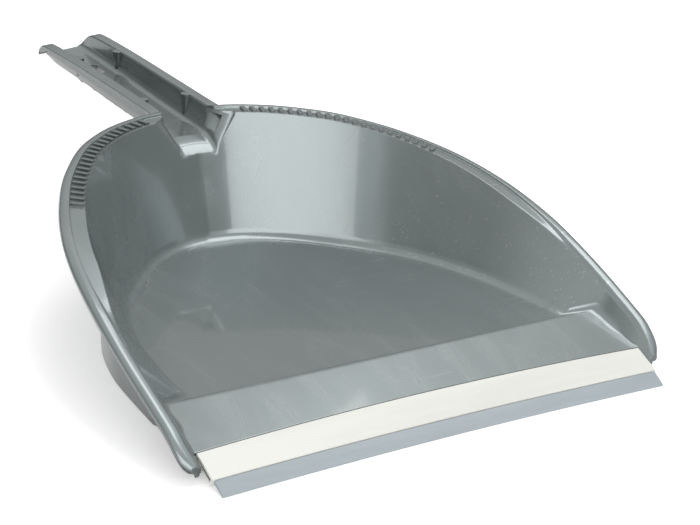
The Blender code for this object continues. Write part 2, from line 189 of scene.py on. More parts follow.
# room kept free inside the bowl
SPACE_LOW, SPACE_OUT, SPACE_UP = FLOOR_Z + 3.0, 14.0, 42.0
SPACE_CLEAR, SPACE_BEHIND = 0.4, 200.0

# ribs and slot of the handle
SNAP_RIBS = (349.0, 447.0)
SNAP_BOTTOM, SNAP_TOP, SNAP_SHORT = 2.3, 3.8, 2.2
GRIP_RIBS = (386.0, 400.0, 414.5, 434.0, 454.0)
GRIP_PROFILE = ((-12.2, 0.6), (-10.5, 2.6), (-6.0, 3.2), (6.0, 3.2), (10.5, 2.6), (12.2, 0.6))
GRIP_ROOT, GRIP_EDGE, GRIP_SINK = 3.4, 1.4, 1.2
HANG_HOLE, HANG_ASIDE = (457.0, 19.0, 9.6), 1.6
# height of each of the slot's sections and how far it is opened out there
HANG_LEVELS = ((84.0, 4.0), (94.2, 0.0), (104.0, 0.0))

# lip
STRIP_HALF, BLADE_HALF = 153.7, 152.5
NOSE_HALF = STRIP_HALF - 0.5
ACROSS_ROUND = 0.5
STRIP_SLOPE = radians(24.0)
STRIP_LONG, STRIP_SKIN, SLOT = 19.4, 1.5, 2.4
GAP = 0.3
BOW_FRONT, BOW_REAR = 4.0, 7.0
NOSE_ROOT, NOSE_LONG = -4.0, STRIP_LONG - 2.2
SLOT_END = STRIP_LONG - 1.8
BLADE_FROM, BLADE_TOP, BLADE_LOW = STRIP_LONG + 0.35, -0.3, -2.9
BLADE_MIDDLE = -1.6
# the blade's free edge at the lip's front: y and z
BLADE_EDGE = ((0.25, 1.05), (0.0, 0.6), (0.5, 0.0), (1.5, 0.0))

# noises: scale, detail, roughness, distortion
CLOUD_NOISE, FLOW_NOISE = (6.0, 3.0, 0.55, 0.6), (1.0, 3.0, 0.55, 1.8)
SCRATCH_NOISE, PATCH_NOISE = (1.0, 1.0, 0.4, 0.25), (8.0, 1.0)
SWELL_NOISE, GRAIN_NOISE = (22.0, 2.0), (900.0, 1.0)
STREAK_NOISE = (1.0, 4.0, 0.6)

# bumps: strength and depth in metres, and the radius of a rounded edge
SWELL_BUMP, GRAIN_BUMP, EDGE_RADIUS = (0.10, 0.0012), (0.04, 0.0002), 0.0007

# looks
PEARL = ((0.190, 0.222, 0.222), (0.212, 0.246, 0.246))
PEARL_FLOW = (0.240, 0.274, 0.274)
PEARL_SCRATCH, SCRATCH_STRENGTH = (0.55, 0.59, 0.59), 0.24
SCRATCH_TURNS = (((0.3, 0.5, 0.9), 1.3), ((0.9, -0.6, -0.5), 4.1), ((-0.2, 1.1, 2.2), 7.7))
SCRATCH_STRETCH = (34.0, 520.0, 520.0)
FLOW_TURN, FLOW_STRETCH = (0.0, 0.0, 0.6), (34.0, 6.0, 14.0)
PEARL_METAL, PEARL_COAT, COAT_ROUGH = 0.55, 0.8, 0.05
PEARL_ROUGH = (0.23, 0.29)
# painted shade, darker on faces that look down: how bright a face is drawn, from half its
# upward normal plus a half, and the shade there
PAINTED_FACING_SHADE = ((0.30, 0.14), (0.50, 0.52), (0.64, 1.0))
WHITE, WHITE_ROUGH = ((0.54, 0.545, 0.51), (0.60, 0.605, 0.57)), 0.42
SOFT_GREY, SOFT_ROUGH = ((0.245, 0.28, 0.30), (0.295, 0.335, 0.353)), 0.5

# light and camera, in metres
AIM = (0.0, 0.0, 0.05)
KEY_AT, KEY_SIZE, KEY_POWER = (-1.0, -2.25, 1.2), (4.0, 1.6), 52.0
TOP_AT, TOP_SIZE, TOP_POWER = (0.75, -0.05, 2.3), (2.0, 1.3), 24.0
SKY = ((0.0, 0.10), (0.25, 0.34), (0.75, 1.0))
SKY_STRENGTH, STUDIO_GLOW = 0.82, 0.34
STUDIO_HALF, STUDIO_Z = 6.0, -0.0002
CAMERA_TURN, CAMERA_RISE, CAMERA_ROLL = radians(-34.67), radians(21.01), radians(3.21)
CAMERA_AT = (-0.6170, -1.0263, 0.4811)
SENSOR, LENS = 36.0, 100.6
CLIP_NEAR, CLIP_FAR = 0.05, 20.0


def from_bmesh(name, bm, group):
    """An object in the collection, made of the drawing with its faces turned outward."""
    bmesh.ops.recalc_face_normals(bm, faces=bm.faces)
    mesh = bpy.data.meshes.new(name)
    bm.to_mesh(mesh)
    bm.free()
    obj = bpy.data.objects.new(name, mesh)
    group.objects.link(obj)
    return obj


def loft(name, rings, group):
    """Skin closed rings of equally many points; the two end rings are capped."""
    bm = bmesh.new()
    rows = [[bm.verts.new(Vector(p) * MM) for p in ring] for ring in rings]
    count = len(rows[0])
    for a, b in zip(rows, rows[1:]):
        for i in range(count):
            j = (i + 1) % count
            bm.faces.new((a[i], a[j], b[j], b[i]))
    bm.faces.new(rows[0])
    bm.faces.new(rows[-1])
    return from_bmesh(name, bm, group)


def boolean(target, others, how):
    """Join the others to the target or cut them from it, once modifiers are applied."""
    for other in others:
        other.hide_render = True
        other.display_type = "WIRE"
        mod = target.modifiers.new(how.lower() + "_" + other.name, "BOOLEAN")
        mod.operation = how
        mod.solver = "EXACT"
        mod.object = other


def apply_modifiers(obj):
    """Make the modified shape the object's own, with nearly equal points welded."""
    graph = bpy.context.evaluated_depsgraph_get()
    mesh = bpy.data.meshes.new_from_object(obj.evaluated_get(graph))
    obj.modifiers.clear()
    obj.data = mesh
    bm = bmesh.new()
    bm.from_mesh(mesh)
    bmesh.ops.remove_doubles(bm, verts=bm.verts, dist=WELD)
    bm.to_mesh(mesh)
    bm.free()


def blend(rows, t):
    """Catmull-Rom through the rows, t from 0 to len(rows) - 1."""
    i = min(int(t), len(rows) - 2)
    f = t - i
    p = [rows[max(0, min(len(rows) - 1, i + k))] for k in (-1, 0, 1, 2)]
    return tuple(
        0.5 * (2 * b + (c - a) * f + (2 * a - 5 * b + 4 * c - d) * f ** 2
               + (3 * b - a - 3 * c + d) * f ** 3)
        for a, b, c, d in zip(*p))


def ramp_z(y):
    """Height of the ramp's straight slope at y."""
    slope = (CREST_Z - RAMP_FOOT[1]) / (CREST_Y - RAMP_FOOT[0])
    return RAMP_FOOT[1] + (y - RAMP_FOOT[0]) * slope


def ease(value, low, high):
    """0 up to low, 1 from high on, and a smooth step between."""
    f = max(0.0, min(1.0, (value - low) / (high - low)))
    return f * f * (3 - 2 * f)


def station(t):
    """One cross-section's plan directions and heights at outline position t."""
    x, y, z, fx, fy = blend(OUTLINE, t)
    reach = hypot(x - fx, y - fy)
    out = ((x - fx) / reach, (y - fy) / reach)
    floor = FLOOR_Z if fy > LEVEL_FROM else ramp_z(fy)
    floor -= TIP_FALL * max(0.0, TIP_FALL_FROM - fy)
    return {"foot": (fx, fy), "out": out, "reach": reach, "rim": z, "floor": floor,
            "y": y}


def place(st, s, z):
    """The point a distance s out from the wall's foot, at height z."""
    return (st["foot"][0] + st["out"][0] * s, st["foot"][1] + st["out"][1] * s, z)


def wall_top(st):
    """Distance from the wall's foot to the rim's inner edge, its height, and how flat
    the rim is there."""
    flat = ease(st["y"], *RIM_FLATTENS)
    width = RIM_BEAD + (RIM_WIDE - RIM_BEAD) * flat
    width = min(width, st["reach"] - 0.6)
    return st["reach"] - width, st["rim"] - RECESS - RECESS_MORE * (1 - flat), flat


def inner_face(st, top_s, top_z, uz):
    """Floor stub, rounded foot and leaning inner face, and how far in the stub runs."""
    floor = st["floor"]
    high = top_z - floor
    ux = top_s / hypot(top_s, high)
    inward = ease(st["foot"][1], *STUB_GROWS)
    corner = min(FILLET, FILLET_SHARE * high) * inward + 0.05
    stub = -(corner + 1.0) * inward
    points = [(stub, floor - 0.3)]
    for k in range(FILLET_STEPS + 1):
        f = k / FILLET_STEPS
        a, b = (1 - f) ** 2, f ** 2
        points.append((-corner * a + corner * ux * b,
                       (floor - 0.25) * (1 - b) + (floor + corner * uz) * b))
    return points + [(top_s, top_z)], stub


def rim_face(st, top_s, top_z, flat, low, hook):
    """Ledge, step up to the rim, and its outer edge turned down to the height low."""
    reach, rim, bead = st["reach"], st["rim"], 1 - flat
    ledge = LEDGE * flat + LEDGE_LEAST * bead
    points = [(top_s + ledge, top_z + LEDGE_LEAST * bead),
              (top_s + ledge + 0.3 + 1.2 * bead, rim - 0.5 * bead)]
    points += [(reach - inset, rim - down) for inset, down in RIM_EDGE]
    points += [(reach - 0.9, low), (reach - 2.1, low - 0.3 * (1 - hook)),
               (reach - 2.3, rim - 3.6 + (low - 0.5 - rim + 3.6) * (1 - hook))]
    return points


def skirt_face(st, stub, thick, under):
    """From the skirt's outer root down round its foot and back under the floor."""
    floor = st["floor"]
    base = (min(thick, under[0] - 0.4), floor - WALL)
    side = ease(st["y"], *SKIRT_WIDENS)
    skirt = SKIRT_OUT_SIDE + (SKIRT_OUT_BACK - SKIRT_OUT_SIDE) * side
    if st["foot"][1] < SKIRT_FROM:
        skirt = base[0] - 0.4
    skirt = min(skirt, under[0] - 1.6)
    rise = 1 - ease(st["y"], *SKIRT_DROPS)
    foot_z = (floor - WALL - SKIRT_SPARE) * rise

    def on_wall(s):
        f = max(0.03, min(0.97, (s - base[0]) / (under[0] - base[0])))
        return base[1] + (under[1] - base[1]) * f

    outer, inner = skirt + WALL / 2, skirt - WALL / 2
    branch = max(on_wall(outer), foot_z + 0.8)
    points = [(outer + SKIRT_FLARE * (branch - foot_z), branch), (outer, foot_z),
              (inner, foot_z)]
    if inner > base[0] + 0.3:
        points += [(inner, on_wall(inner)), base]
    else:
        points += [(inner, min(base[1] - 0.2, foot_z + 1.6)), (inner - 0.6, base[1] + 0.1)]
    return points + [(stub, floor - WALL + 0.25)]


def wall_ring(t):
    """The wall's whole section at outline position t, as a closed ring."""
    st = station(t)
    reach, rim, floor = st["reach"], st["rim"], st["floor"]
    top_s, top_z, flat = wall_top(st)
    high = top_z - floor
    uz = high / hypot(top_s, high)
    low = rim - min(RIM_DROP, DROP_SHARE * (rim - floor) + DROP_MORE)
    hook = ease(st["foot"][1], *FLANGE_GROWS)
    thick = min(WALL / uz, WALL_MOST)
    lowest = min(low - 0.7, top_z - RIM_UNDER)
    under = (top_s + min(thick + 1.0, reach - top_s - 3.0),
             top_z - RIM_UNDER + (lowest - top_z + RIM_UNDER) * (1 - hook))
    ring, stub = inner_face(st, top_s, top_z, uz)
    ring += rim_face(st, top_s, top_z, flat, low, hook)
    ring += [under] + skirt_face(st, stub, thick, under)
    return soften([place(st, s, z) for s, z in ring])


def running_length(points):
    """Distance in plan from the first point to each of them."""
    run = [0.0]
    for a, b in zip(points, points[1:]):
        run.append(run[-1] + hypot(a[0] - b[0], a[1] - b[1]))
    return run


def outline_positions():
    """Positions along half the outline, about evenly spaced, tip last."""
    last = len(OUTLINE) - 1
    fine = [blend(OUTLINE, last * i / OUTLINE_PROBES)[:2] for i in range(OUTLINE_PROBES + 1)]
    run = running_length(fine)
    spots, k = [], 0
    for i in range(STATIONS + 1):
        want = run[-1] * i / STATIONS
        while k < OUTLINE_PROBES and run[k] < want:
            k += 1
        spots.append(last * k / OUTLINE_PROBES)
    spots = [t for t in spots if all(abs(t - row) > CREST_CLEAR for row in CREST_ROWS)]
    return sorted(spots + list(CREST_ROWS))


def mirrored(ring):
    """The same points on the other side of the pan."""
    return [(-x, y, z) for x, y, z in ring]


def both_halves(spots, make):
    """Rings from the left-hand tip round the back to the right-hand tip."""
    right = [make(t) for t in spots]
    return [mirrored(r) for r in reversed(right[1:])] + right


def bowl_wall(group):
    """The wall swept along the outline, closed by a short rounded nose at each tip."""
    rings = both_halves(outline_positions(), wall_ring)
    for end in (0, -1):
        last = rings[end]
        mid = [sum(p[k] for p in last) / len(last) for k in range(3)]
        nose = [(mid[0] + (x - mid[0]) * TIP_NARROW, y - TIP_LENGTH,
                 mid[2] + (z - mid[2]) * TIP_FLAT) for x, y, z in last]
        rings = [nose] + rings if end == 0 else rings + [nose]
    return loft("bowl_wall", rings, group)


def prism(name, plan, low, high, group):
    """An upright block on a plan of (x, y) points."""
    return loft(name, [[(x, y, z) for x, y in plan] for z in (low, high)], group)


def floor_edge(spots, shift):
    """Plan of the floor's edge, left to right, shifted out under the wall."""
    edge = []
    for t in spots:
        st = station(t)
        if st["foot"][1] < PLATE_FROM:
            break
        x, y, _ = place(st, shift, 0)
        edge.append((x, y))
    return [(-x, y) for x, y in reversed(edge[1:])] + edge


def floor_plate(group):
    """The bowl's raised floor, behind the ramp."""
    plan = floor_edge(outline_positions(), PLATE_SHIFT)
    x = plan[-1][0]
    plan += [(x, PLATE_FRONT), (-x, PLATE_FRONT)]
    return prism("floor_plate", plan, FLOOR_Z - WALL - PLATE_EXTRA, FLOOR_Z, group)


def bow(x, depth):
    """How far back the lip lies at x: the whole depth in the middle, none at its ends."""
    return depth * (1 - (x / STRIP_HALF) ** 2)


def on_strip(x, a, b):
    """At x: point a along the strip from its rear top edge, b above its top face."""
    u = (-cos(STRIP_SLOPE), -sin(STRIP_SLOPE))
    n = (-sin(STRIP_SLOPE), cos(STRIP_SLOPE))
    rear, front = bow(x, BOW_REAR), bow(x, BOW_FRONT)
    back = rear + (front - rear) * a / STRIP_LONG
    return (RAMP_FOOT[0] + u[0] * a + n[0] * b + back,
            RAMP_FOOT[1] + u[1] * a + n[1] * b)


def across(name, section, half, group):
    """Sweep a section(x) of (y, z) points along X from -half to +half."""
    rings = []
    for i in range(ACROSS_STEPS + 1):
        x = half * (2 * i / ACROSS_STEPS - 1)
        rings.append(soften([(x, y, z) for y, z in section(x)], ACROSS_ROUND))
    return loft(name, rings, group)


def ramp_section(x):
    """The ramp at x: tail, crest, front edge, and back along the underside."""
    foot = RAMP_FOOT[0] + bow(x, BOW_REAR) + GAP
    back = 1 - TAIL_SHRINK * ease(abs(x), OUTLINE[CREST_ROWS[0]][3] + 1.0, RAMP_HALF)
    top = [(CREST_Y + far * back, z) for far, z in RAMP_TAIL]
    top += [(CREST_Y, CREST_Z), (CREST_Y - 1.6, CREST_Z - 0.25),
            (foot + 0.2, RAMP_FOOT[1] - 0.25), (foot + 1.1, RAMP_FOOT[1] - WALL)]
    return top + [(CREST_Y - 1.0, CREST_Z - WALL - 0.3),
                  (CREST_Y + RAMP_TAIL[0][0] * back, FLOOR_Z - WALL + 0.3)]


def nose_section(x):
    """The tongue in front of the ramp, a small gap smaller than the strip's slot."""
    high, low = -STRIP_SKIN - GAP, -STRIP_SKIN - SLOT + GAP
    return [on_strip(x, a, b) for a, b in (
        (NOSE_ROOT, high - 0.6), (-0.4, high), (NOSE_LONG, high), (NOSE_LONG, low),
        (NOSE_ROOT, low))]


def handle_turn(y):
    """The handle's twist about its length at y."""
    return HANDLE_TWIST * ease(y, TWIST_FROM, TWIST_TO) * TWIST_GAIN


def twisted(x, y, z, turn, mid):
    """A point of the handle turned about the line at height mid."""
    return (x * cos(turn) - (z - mid) * sin(turn), y,
            mid + (z - mid) * cos(turn) + x * sin(turn))


def handle_ring(row, inside=False):
    """The handle's U section at one row, or just the channel's room with inside."""
    y, half, rail, floor, under = row
    inner = half - FLANGE - WALL
    foot = min(CHANNEL_FOOT, inner - 3.0)
    depth = rail - floor
    drop = min(FLANGE_DROP, 0.6 * depth + 0.5)
    right = [(0.0, floor)]
    right += [(foot + out, floor + share * depth) for out, share in CHANNEL_CORNER]
    right.append((inner, rail - 0.10 * depth))
    if inside:
        right += [(inner, rail), (inner, rail + CHANNEL_ROOM), (0.0, rail + CHANNEL_ROOM)]
    else:
        right += [(inner + 0.7, rail), (half - 0.9, rail), (half, rail - 0.9),
                  (half, rail - drop), (inner + WALL + 0.4, rail - drop - 0.1),
                  (inner + WALL, max(under + 4.5, rail - 0.55 * depth - 2.0)),
                  (foot + WALL, under + 1.6), (foot - 0.8, under), (0.0, under)]
    left = [(-x, z) for x, z in reversed(right) if x > 0.0]
    return [twisted(x, y, z, handle_turn(y), floor + TWIST_AXIS) for x, z in right + left]


def handle_rows(count):
    """Rows of HANDLE at count + 1 positions along it."""
    last = len(HANDLE) - 1
    return [blend(HANDLE, last * i / count) for i in range(count + 1)]


def handle_row_at(y):
    """The handle's row nearest to y."""
    return min(handle_rows(HANDLE_PROBES), key=lambda row: abs(row[0] - y))


def handle_body(group):
    rings = [soften(handle_ring(row), HANDLE_ROUND) for row in handle_rows(HANDLE_RINGS)]
    return loft("handle_body", rings, group)


def notch_cutter(group, grow=0.0):
    """The channel carried on through the back wall, rounded out into the bowl."""
    turns = [k / NOTCH_STEPS for k in range(NOTCH_STEPS + 1)]
    spots = [(NOTCH_FROM - NOTCH_ROUND * sin(t * pi / 2), t) for t in turns]
    rings = []
    spots += [(NOTCH_END - beyond, 1.0) for beyond in NOTCH_BEYOND]
    for y, t in spots:
        away = 1 - cos(t * pi / 2)
        row = (y, NOTCH_HALF + grow + NOTCH_FLARE * away, NOTCH_RAIL,
               NOTCH_FLOOR - grow - NOTCH_DROP * away, NOTCH_UNDER)
        ring = soften(handle_ring(row, inside=True), NOTCH_CORNERS[0] + NOTCH_CORNERS[1] * away)
        rings.append([(x, y + grow + BACK_LEAN * (z - LEAN_FROM_Z), z) for x, y, z in ring])
    return loft("notch_cutter", rings, group)


def space_levels(st):
    """(s, z) points up the bowl's inner face at a station, and out above the rim."""
    top_s, top_z, _ = wall_top(st)
    floor = st["floor"]
    low_s = top_s * (SPACE_LOW - floor) / max(1.0, top_z - floor)
    return ((low_s, SPACE_LOW), (top_s * 0.5, (floor + top_z) / 2), (top_s, top_z),
            (top_s + SPACE_OUT, top_z + SPACE_UP))


def bowl_space(group):
    """Room inside the bowl, which nothing of the handle may enter."""
    rings = []
    for level in range(4):
        ring = []
        for t in outline_positions():
            st = station(t)
            s, z = space_levels(st)[level]
            ring.append(place(st, s + SPACE_CLEAR, z))
            if st["y"] < SPACE_BEHIND:
                break
        rings.append(mirrored(reversed(ring[1:])) + ring)
    return loft("bowl_space", rings, group)


def box(name, centre, size, turn, group):
    """A box turned about its upright axis."""
    bm = bmesh.new()
    bmesh.ops.create_cube(bm, size=1.0)
    c, s = cos(turn), sin(turn)
    for v in bm.verts:
        x, y, z = v.co.x * size[0], v.co.y * size[1], v.co.z * size[2]
        v.co = Vector((centre[0] + c * x - s * y, centre[1] + s * x + c * y,
                       centre[2] + z)) * MM
    return from_bmesh(name, bm, group)


def ledge_spots():
    """(point, station, ledge height) closely along the ledge, from the first tooth on."""
    last = len(OUTLINE) - 1
    spots = []
    for i in range(TEETH_PROBES + 1):
        st = station(last * i / TEETH_PROBES)
        top_s, top_z, _ = wall_top(st)
        point = place(st, top_s + TEETH_IN, 0)
        if TEETH_FROM <= point[0] and point[1] > TEETH_BEHIND:
            spots.append((point, st, top_z))
    return spots


def teeth(group):
    """Comb teeth on the ledge inside the rim, either side of the handle."""
    spots = ledge_spots()
    run = running_length([spot[0] for spot in spots])
    end = next(r for r, spot in zip(run, spots) if spot[0][0] >= TEETH_TO)
    made = []
    for i in range(TEETH):
        want = end * i / (TEETH - 1)
        k = min(range(len(run)), key=lambda j: abs(run[j] - want))
        (x, y, _), st, top_z = spots[k]
        turn = atan2(st["out"][1], st["out"][0]) - pi / 2
        low, high = top_z - 0.6, st["rim"] - 0.15
        for side in (1, -1):
            made.append(box("tooth_%s%02d" % ("r" if side > 0 else "l", i),
                            (x * side, y, (low + high) / 2), (TOOTH, TOOTH_LONG, high - low),
                            turn * side, group))
    return made


def snap_ribs(group):
    """Two pairs of half-round ribs inside the channel, wider at the top."""
    made = []
    for y in SNAP_RIBS:
        _, half, rail, floor, _ = handle_row_at(y)
        inner = half - FLANGE - WALL
        for side in (1, -1):
            bm = bmesh.new()
            bmesh.ops.create_cone(bm, cap_ends=True, segments=SNAP_SIDES, radius1=SNAP_BOTTOM,
                                  radius2=SNAP_TOP, depth=rail - floor - SNAP_SHORT)
            for v in bm.verts:
                x, z = v.co.x + side * (inner - 0.6), v.co.z + (rail + floor) / 2 + 0.5
                v.co = Vector(twisted(x, v.co.y + y, z, handle_turn(y),
                                      floor + TWIST_AXIS)) * MM
            made.append(from_bmesh("snap_%d_%s" % (y, "r" if side > 0 else "l"), bm, group))
    return made


def grip_ribs(group):
    """Low ribs across the handle's underside, narrower at their lower edge."""
    made = []
    for y in GRIP_RIBS:
        under = handle_row_at(y)[4]
        rings = []
        for x, down in GRIP_PROFILE:
            lean = x * sin(handle_turn(y))
            root, edge = under + GRIP_SINK + lean, under - down + lean
            rings.append([(x, y - GRIP_ROOT, root), (x, y + GRIP_ROOT, root),
                          (x, y + GRIP_EDGE, edge), (x, y - GRIP_EDGE, edge)])
        made.append(loft("grip_%d" % y, rings, group))
    return made


def hang_hole(group):
    """Long slot for hanging the pan up, opening out below."""
    y, long, wide = HANG_HOLE
    rings = []
    for z, more in HANG_LEVELS:
        plan = []
        for i in range(HANG_SIDES):
            a = 2 * pi * i / HANG_SIDES
            shift = (long - wide) / 2 if sin(a) > 0 else -(long - wide) / 2
            plan.append((HANG_ASIDE + (wide / 2 + more) * cos(a),
                         y + shift + (wide / 2 + more) * sin(a), z))
        rings.append(plan)
    return loft("hang_hole", rings, group)


def lip_strip(group):
    """The clip: a U section, open at the rear, that holds the ramp's tongue."""
    low = -STRIP_SKIN - SLOT
    outline = (
        (0.4, 0.0), (STRIP_LONG - 0.5, 0.0), (STRIP_LONG, -0.5),
        (STRIP_LONG, low - 0.9), (STRIP_LONG - 0.6, low - 1.3), (6.0, low - 1.3),
        (5.6, low), (SLOT_END, low), (SLOT_END, -STRIP_SKIN),
        (0.0, -STRIP_SKIN), (0.0, -0.4))
    return across("lip_strip", lambda x: [on_strip(x, a, b) for a, b in outline],
                  STRIP_HALF, group)


def lip_blade(group):
    """The soft blade, from the strip's front face down to the ground."""
    def section(x):
        shift = bow(x, BOW_FRONT)
        edge = [(y + shift, z) for y, z in BLADE_EDGE]
        return ([on_strip(x, BLADE_FROM, BLADE_TOP)] + edge
                + [on_strip(x, BLADE_FROM, BLADE_LOW)])
    return across("lip_blade", section, BLADE_HALF, group)


def soften(ring, radius=CORNER_ROUND):
    """Round a section's corners: each point becomes three."""
    made, count = [], len(ring)
    for i, here in enumerate(ring):
        before, after, here = Vector(ring[i - 1]), Vector(ring[(i + 1) % count]), Vector(here)
        cut = min(radius, 0.33 * (before - here).length, 0.33 * (after - here).length)
        p = here + (before - here).normalized() * cut
        q = here + (after - here).normalized() * cut
        made += [p, (p + q) / 4 + here / 2, q]
    return made


def smooth(obj):
    """Smooth shading, kept sharp at the real edges."""
    mesh = obj.data
    mesh.shade_smooth()
    mesh.set_sharp_from_angle(angle=radians(SHARP_ANGLE))
    mod = obj.modifiers.new("even normals", "WEIGHTED_NORMAL")
    mod.keep_sharp = True
    mod.weight = 60


def settle(obj, node, mat):
    """Move a finished drawing into the row frame and let it stand for its CAD node."""
    for v in obj.data.vertices:
        v.co.y -= MID_Y * MM
    obj.data.materials.clear()
    obj.data.materials.append(mat)
    obj.hide_render = False
    obj.display_type = "TEXTURED"
    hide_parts(node)
    smooth(obj)


def gather(name, parts, group):
    """One mesh of several overlapping drawings."""
    bm = bmesh.new()
    for part in parts:
        bm.from_mesh(part.data)
    return from_bmesh(name, bm, group)


# ---------------------------------------------------------------- materials

def shader_tree(name):
    """A new material, its nodes, and its main shader."""
    mat = bpy.data.materials.new(name)
    mat.use_nodes = True
    tree = mat.node_tree
    return mat, tree, tree.nodes["Principled BSDF"]


def node(tree, kind, **values):
    """A new node; in_Name sets the input called Name, anything else a property."""
    made = tree.nodes.new(kind)
    for key, value in values.items():
        if key.startswith("in_"):
            made.inputs[key[3:].replace("_", " ")].default_value = value
        else:
            setattr(made, key, value)
    return made


def link(tree, a, b, out=0, into=0):
    """Join an output of node a to an input of node b."""
    tree.links.new(a.outputs[out], b.inputs[into])


def position(tree, turn=(0.0, 0.0, 0.0), scale=(1.0, 1.0, 1.0)):
    """Object coordinates, first turned and then stretched."""
    where = node(tree, "ShaderNodeTexCoord")
    spin = node(tree, "ShaderNodeMapping")
    spin.inputs["Rotation"].default_value = turn
    spin.inputs["Scale"].default_value = scale
    link(tree, where, spin, "Object", "Vector")
    return spin


def noise(tree, at, scale, detail=2.0, rough=0.5, warp=0.0):
    """Noise over the coordinates given by the node at."""
    made = node(tree, "ShaderNodeTexNoise", in_Scale=scale, in_Detail=detail,
                in_Roughness=rough, in_Distortion=warp)
    link(tree, at, made, "Vector", "Vector")
    return made


def ramp(tree, source, stops, out="Fac"):
    """Colours along the source's value, from (position, colour) stops."""
    made = node(tree, "ShaderNodeValToRGB")
    bar = made.color_ramp
    bar.elements[0].position, bar.elements[0].color = stops[0][0], (*stops[0][1], 1)
    bar.elements[1].position, bar.elements[1].color = stops[-1][0], (*stops[-1][1], 1)
    for place_at, color in stops[1:-1]:
        bar.elements.new(place_at).color = (*color, 1)
    link(tree, source, made, out, "Fac")
    return made


def grey(value):
    return (value, value, value)


def math(tree, how, a, b, out=0):
    """A math node on a node's output and a second node or a plain number."""
    made = node(tree, "ShaderNodeMath", operation=how)
    for k, (source, socket) in enumerate(((a, out), (b, 0))):
        if isinstance(source, (int, float)):
            made.inputs[k].default_value = source
        else:
            link(tree, source, made, socket, k)
    return made


def mixed(tree, factor, a, b, blend_type="MIX"):
    """Two colours mixed; each of them, and the factor, is a node or a plain value."""
    made = node(tree, "ShaderNodeMix", data_type="RGBA", blend_type=blend_type)
    if isinstance(factor, float):
        made.inputs[0].default_value = factor
    else:
        link(tree, factor, made, 0, 0)
    for socket, value in ((6, a), (7, b)):
        if isinstance(value, tuple):
            made.inputs[socket].default_value = (*value, 1)
        else:
            tree.links.new(value.outputs[2 if value.type == "MIX" else 0],
                           made.inputs[socket])
    return made


def scratches(tree, turn, seed):
    """Short pale strokes, longest along one turned axis."""
    at = position(tree, turn, SCRATCH_STRETCH)
    at.inputs["Location"].default_value = (seed, seed * 0.7, 0.0)
    fine = noise(tree, at, *SCRATCH_NOISE)
    return ramp(tree, fine, ((0.72, grey(0.0)), (0.755, grey(1.0))))


def pearl_tone(tree, flow):
    """Two close greys in soft clouds, with paler lines along the flow."""
    cloud = noise(tree, position(tree), *CLOUD_NOISE)
    base = ramp(tree, cloud, ((0.32, PEARL[0]), (0.68, PEARL[1])))
    lines = ramp(tree, flow, ((0.45, grey(0.0)), (0.75, grey(0.5))))
    return mixed(tree, lines, base, PEARL_FLOW)


def scratch_marks(tree):
    """Scratches in three directions, seen only in patches."""
    first, *others = [scratches(tree, turn, seed) for turn, seed in SCRATCH_TURNS]
    for other in others:
        first = math(tree, "MAXIMUM", first, other)
    patch = ramp(tree, noise(tree, position(tree), *PATCH_NOISE),
                 ((0.50, grey(0.0)), (0.62, grey(1.0))))
    marks = math(tree, "MULTIPLY", first, patch)
    return math(tree, "MULTIPLY", marks, SCRATCH_STRENGTH)


def painted_facing_shade(tree):
    """Painted shade: dark where a face looks down, white where it looks well up."""
    facing = node(tree, "ShaderNodeSeparateXYZ")
    link(tree, node(tree, "ShaderNodeNewGeometry"), facing, "Normal", 0)
    upward = math(tree, "MULTIPLY_ADD", facing, 0.5, "Z")
    upward.inputs[2].default_value = 0.5
    return ramp(tree, upward, [(at, grey(value)) for at, value in PAINTED_FACING_SHADE], "Value")


def pearl_surface(tree, shader):
    """Slow waves, fine grain and rounded edges, in the shading only."""
    last = node(tree, "ShaderNodeBevel", samples=6, in_Radius=EDGE_RADIUS)
    for texture, (strength, depth) in ((SWELL_NOISE, SWELL_BUMP), (GRAIN_NOISE, GRAIN_BUMP)):
        height = noise(tree, position(tree), *texture)
        bump = node(tree, "ShaderNodeBump", in_Strength=strength, in_Distance=depth)
        link(tree, height, bump, "Fac", "Height")
        link(tree, last, bump, 0, "Normal")
        last = bump
    link(tree, last, shader, 0, "Normal")


def pan_material():
    """Pearl-grey moulded plastic with a clear gloss, with painted shade that darkens faces
    looking down and thins their gloss.
    """
    mat, tree, shader = shader_tree("pearl_grey_plastic")
    flow = noise(tree, position(tree, FLOW_TURN, FLOW_STRETCH), *FLOW_NOISE)
    colour = mixed(tree, scratch_marks(tree), pearl_tone(tree, flow), PEARL_SCRATCH)
    # painted shade: the base colour is darkened on faces that look down
    shade = painted_facing_shade(tree)
    colour = mixed(tree, 1.0, colour, shade, "MULTIPLY")
    link(tree, colour, shader, 2, "Base Color")
    pearl_surface(tree, shader)
    rough = ramp(tree, flow, ((0.3, grey(PEARL_ROUGH[0])), (0.7, grey(PEARL_ROUGH[1]))))
    link(tree, rough, shader, 0, "Roughness")
    shader.inputs["Metallic"].default_value = PEARL_METAL
    # the painted shade also thins the clear gloss on faces that look down
    link(tree, math(tree, "MULTIPLY", shade, PEARL_COAT), shader, 0, "Coat Weight")
    shader.inputs["Coat Roughness"].default_value = COAT_ROUGH
    return mat


def streaked_plastic(name, stretch, tones, upper, rough):
    """Matt plastic between two tones, in soft streaks along the lip."""
    mat, tree, shader = shader_tree(name)
    soil = noise(tree, position(tree, scale=stretch), *STREAK_NOISE)
    tone = ramp(tree, soil, ((0.30, tones[0]), (upper, tones[1])))
    link(tree, tone, shader, 0, "Base Color")
    shader.inputs["Roughness"].default_value = rough
    return mat


def strip_material():
    """The clip's rigid white plastic."""
    return streaked_plastic("white_plastic", (6.0, 60.0, 60.0), WHITE, 0.62, WHITE_ROUGH)


def blade_material():
    """The blade's soft blue-grey plastic."""
    return streaked_plastic("soft_grey_plastic", (8.0, 90.0, 90.0), SOFT_GREY, 0.66, SOFT_ROUGH)


# ---------------------------------------------------------------- light and camera

